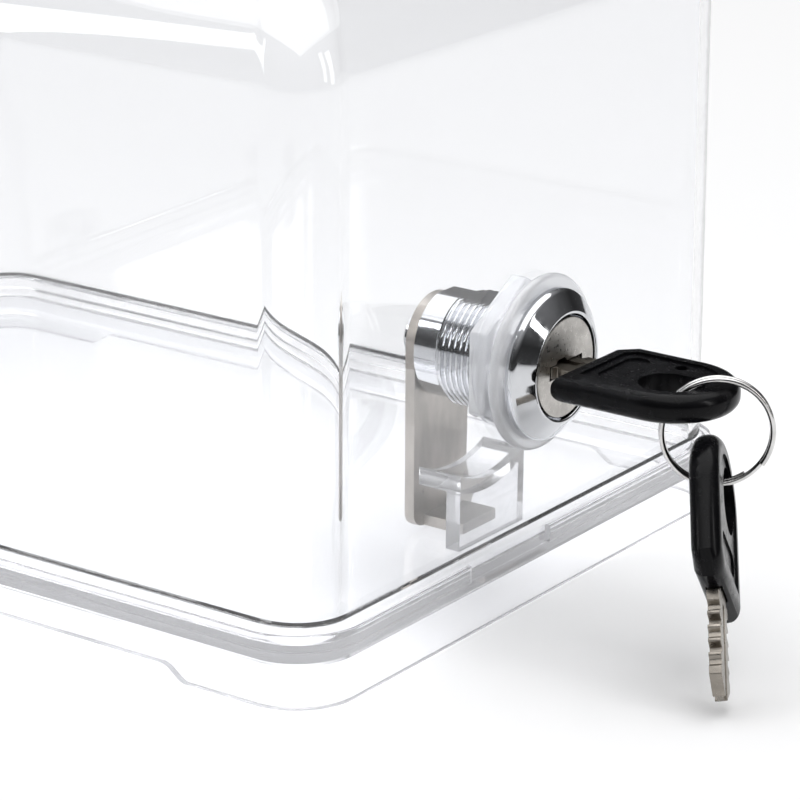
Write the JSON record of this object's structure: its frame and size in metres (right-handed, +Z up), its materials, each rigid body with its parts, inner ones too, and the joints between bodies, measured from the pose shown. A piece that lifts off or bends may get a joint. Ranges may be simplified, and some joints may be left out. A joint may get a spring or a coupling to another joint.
{
  "type": "counter-top donation box",
  "caption": "Clear plastic counter-top donation box: a hinged cover on a base tray, held by a cam lock with a key in it and a spare key on a split ring.",
  "frame": {"origin": "bottom centre of the whole object's box, keys included, on the table surface", "axes": "+X out of the lock side, -Y out of the long front, +Z up"},
  "size_m": [0.2054, 0.116, 0.1042],
  "materials": {
    "clear_plastic": "crystal-clear moulded polystyrene, glossy",
    "chrome": "bright chrome plate on die-cast zinc",
    "satin_nickel": "satin nickel plate, fine grain",
    "wafer_brass": "plain stamped brass",
    "ring_wire": "bright nickel-plated spring wire",
    "black_plastic": "glossy moulded black plastic"
  },
  "bodies": {
    "base": {"base_tray": "clear_plastic"},
    "cover": {"cover_shell": "clear_plastic", "lock_housing": "chrome", "clear_washer": "clear_plastic", "lock_nut": "clear_plastic"},
    "plug": {"lock_plug": "satin_nickel", "wafer_1": "wafer_brass", "wafer_2": "wafer_brass", "wafer_3": "wafer_brass", "wafer_4": "wafer_brass", "wafer_5": "wafer_brass", "cam": "satin_nickel", "cam_washer": "satin_nickel", "cam_screw": "chrome"},
    "key": {"key_head": "black_plastic", "key_blade": "satin_nickel"},
    "ring": {"split_ring": "ring_wire"},
    "spare_key": {"spare_key_head": "black_plastic", "spare_key_blade": "satin_nickel"}
  },
  "joints": [
    {"name": "cover_open", "type": "hinge", "parent": "base", "child": "cover", "pos_m": [-0.10006, 0, 0.015], "axis": [0, -1, 0], "range_deg": [0, 95]},
    {"name": "lock_turn", "type": "hinge", "parent": "cover", "child": "plug", "pos_m": [0.05591, 0, 0.038], "axis": [-1, 0, 0], "range_deg": [0, 90]},
    {"name": "key_withdraw", "type": "slide", "parent": "plug", "child": "key", "axis": [1, 0, 0], "range_m": [0, 0.018]},
    {"name": "ring_swing", "type": "hinge", "parent": "key", "child": "ring", "pos_m": [0.08731, 0, 0.038], "axis": [-0.8192, -0.5736, 0], "range_deg": [0, 12]},
    {"name": "spare_key_swing", "type": "hinge", "parent": "ring", "child": "spare_key", "pos_m": [0.08731, 0, 0.0254], "axis": [-0.8192, -0.5736, 0], "range_deg": [0, 14]}
  ]
}
